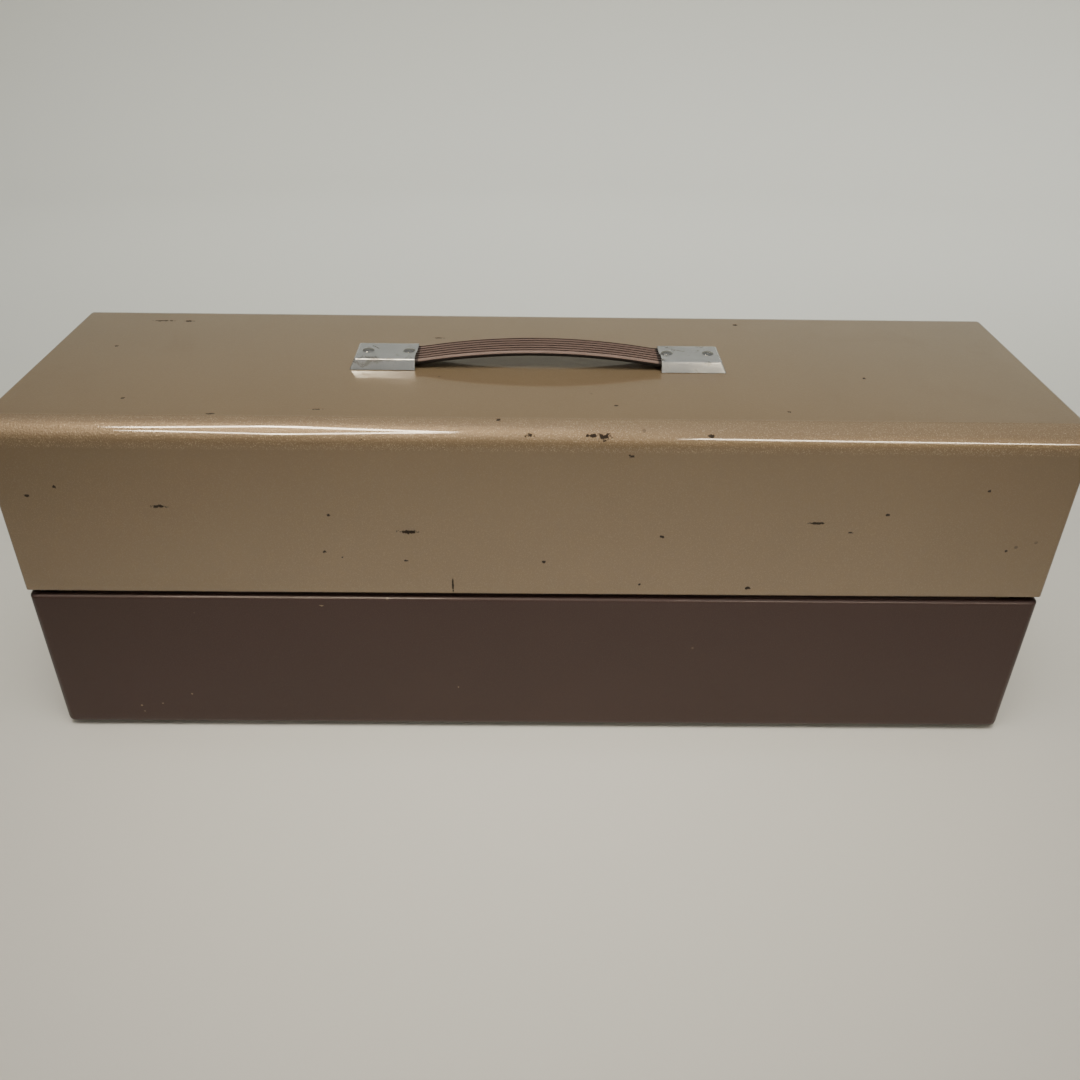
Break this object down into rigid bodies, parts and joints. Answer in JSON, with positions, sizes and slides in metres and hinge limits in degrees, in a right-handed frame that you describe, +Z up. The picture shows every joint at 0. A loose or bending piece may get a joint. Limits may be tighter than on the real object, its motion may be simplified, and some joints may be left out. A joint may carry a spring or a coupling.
{
  "type": "toolbox with tray",
  "caption": "Long steel tool box with a hinged lid, a strap handle, draw latches and a divided cantilever tray that swings up level as the lid opens.",
  "frame": {"origin": "centre of the underside's flat, which the box stands on", "axes": "+X along the length, -Y toward the hinge side, +Y toward the latches, +Z up"},
  "size_m": [0.61, 0.1949, 0.231],
  "materials": {
    "tub_paint": "dark brown satin enamel",
    "lid_paint": "gold-tan metallic enamel",
    "tray_paint": "gold-tan enamel",
    "cap_plate": "dull plated sheet",
    "plated_steel": "zinc-plated",
    "strap": "ribbed brown vinyl"
  },
  "bodies": {
    "base": {"base_tub": "tub_paint", "hinge_leaf_base": "tub_paint", "hinge_pin": "plated_steel", "arm_stud_left": "plated_steel", "latch_plate_left": "plated_steel", "latch_pin_left": "plated_steel", "arm_stud_right": "plated_steel", "latch_plate_right": "plated_steel", "latch_pin_right": "plated_steel"},
    "lid": {"lid_shell": "lid_paint", "hinge_leaf_lid": "lid_paint", "lid_stud_left": "plated_steel", "latch_keeper_left": "plated_steel", "handle_cap_left": "cap_plate", "lid_stud_right": "plated_steel", "latch_keeper_right": "plated_steel", "handle_cap_right": "cap_plate", "cap_screw_left_inner": "plated_steel", "cap_screw_left_outer": "plated_steel", "cap_screw_right_inner": "plated_steel", "cap_screw_right_outer": "plated_steel"},
    "tray": {"tray_pan": "tray_paint", "tray_divider_long": "tray_paint", "tray_divider_rear_1": "tray_paint", "tray_divider_rear_2": "tray_paint", "tray_divider_rear_3": "tray_paint", "tray_divider_front_1": "tray_paint", "tray_stud_left": "plated_steel", "tray_stud_right": "plated_steel"},
    "arm_left": {"tray_arm_left": "plated_steel"},
    "arm_right": {"tray_arm_right": "plated_steel"},
    "latch_lever_left": {"latch_lever_left": "plated_steel"},
    "latch_lever_right": {"latch_lever_right": "plated_steel"},
    "latch_bail_left": {"latch_bail_left": "plated_steel"},
    "latch_bail_right": {"latch_bail_right": "plated_steel"},
    "handle": {"handle_strap": "strap", "strap_end_left": "strap", "strap_end_right": "strap"}
  },
  "joints": [
    {"name": "lid_hinge", "type": "hinge", "parent": "base", "child": "lid", "pos_m": [0, -0.0872, 0.1094], "axis": [1, 0, 0], "range_deg": [0, 95]},
    {"name": "tray_level", "type": "hinge", "parent": "lid", "child": "tray", "pos_m": [0, -0.0252, 0.1194], "axis": [1, 0, 0], "range_deg": [-95, 0]},
    {"name": "arm_left_swing", "type": "hinge", "parent": "base", "child": "arm_left", "pos_m": [0, -0.0022, 0.0954], "axis": [1, 0, 0], "range_deg": [0, 95]},
    {"name": "arm_right_swing", "type": "hinge", "parent": "base", "child": "arm_right", "pos_m": [0, -0.0022, 0.0954], "axis": [1, 0, 0], "range_deg": [0, 95]},
    {"name": "latch_left_lever", "type": "hinge", "parent": "base", "child": "latch_lever_left", "pos_m": [-0.19, 0.0971, 0.088], "axis": [1, 0, 0], "range_deg": [0, 150]},
    {"name": "latch_left_bail", "type": "hinge", "parent": "latch_lever_left", "child": "latch_bail_left", "pos_m": [-0.19, 0.0949, 0.0795], "axis": [1, 0, 0], "range_deg": [-165, 0]},
    {"name": "latch_right_lever", "type": "hinge", "parent": "base", "child": "latch_lever_right", "pos_m": [0.19, 0.0971, 0.088], "axis": [1, 0, 0], "range_deg": [0, 150]},
    {"name": "latch_right_bail", "type": "hinge", "parent": "latch_lever_right", "child": "latch_bail_right", "pos_m": [0.19, 0.0949, 0.0795], "axis": [1, 0, 0], "range_deg": [-165, 0]},
    {"name": "handle_lift", "type": "slide", "parent": "lid", "child": "handle", "axis": [0, 0, 1], "range_m": [0, 0.014], "deforming": ["strap_end_left", "strap_end_right"]}
  ],
  "couplings": [
    {"joint": "tray_level", "follows": "lid_hinge", "ratio": -1},
    {"joint": "arm_left_swing", "follows": "lid_hinge", "ratio": 1},
    {"joint": "arm_right_swing", "follows": "lid_hinge", "ratio": 1},
    {"joint": "latch_left_bail", "follows": "latch_left_lever", "ratio": -1.1},
    {"joint": "latch_right_bail", "follows": "latch_right_lever", "ratio": -1.1}
  ]
}
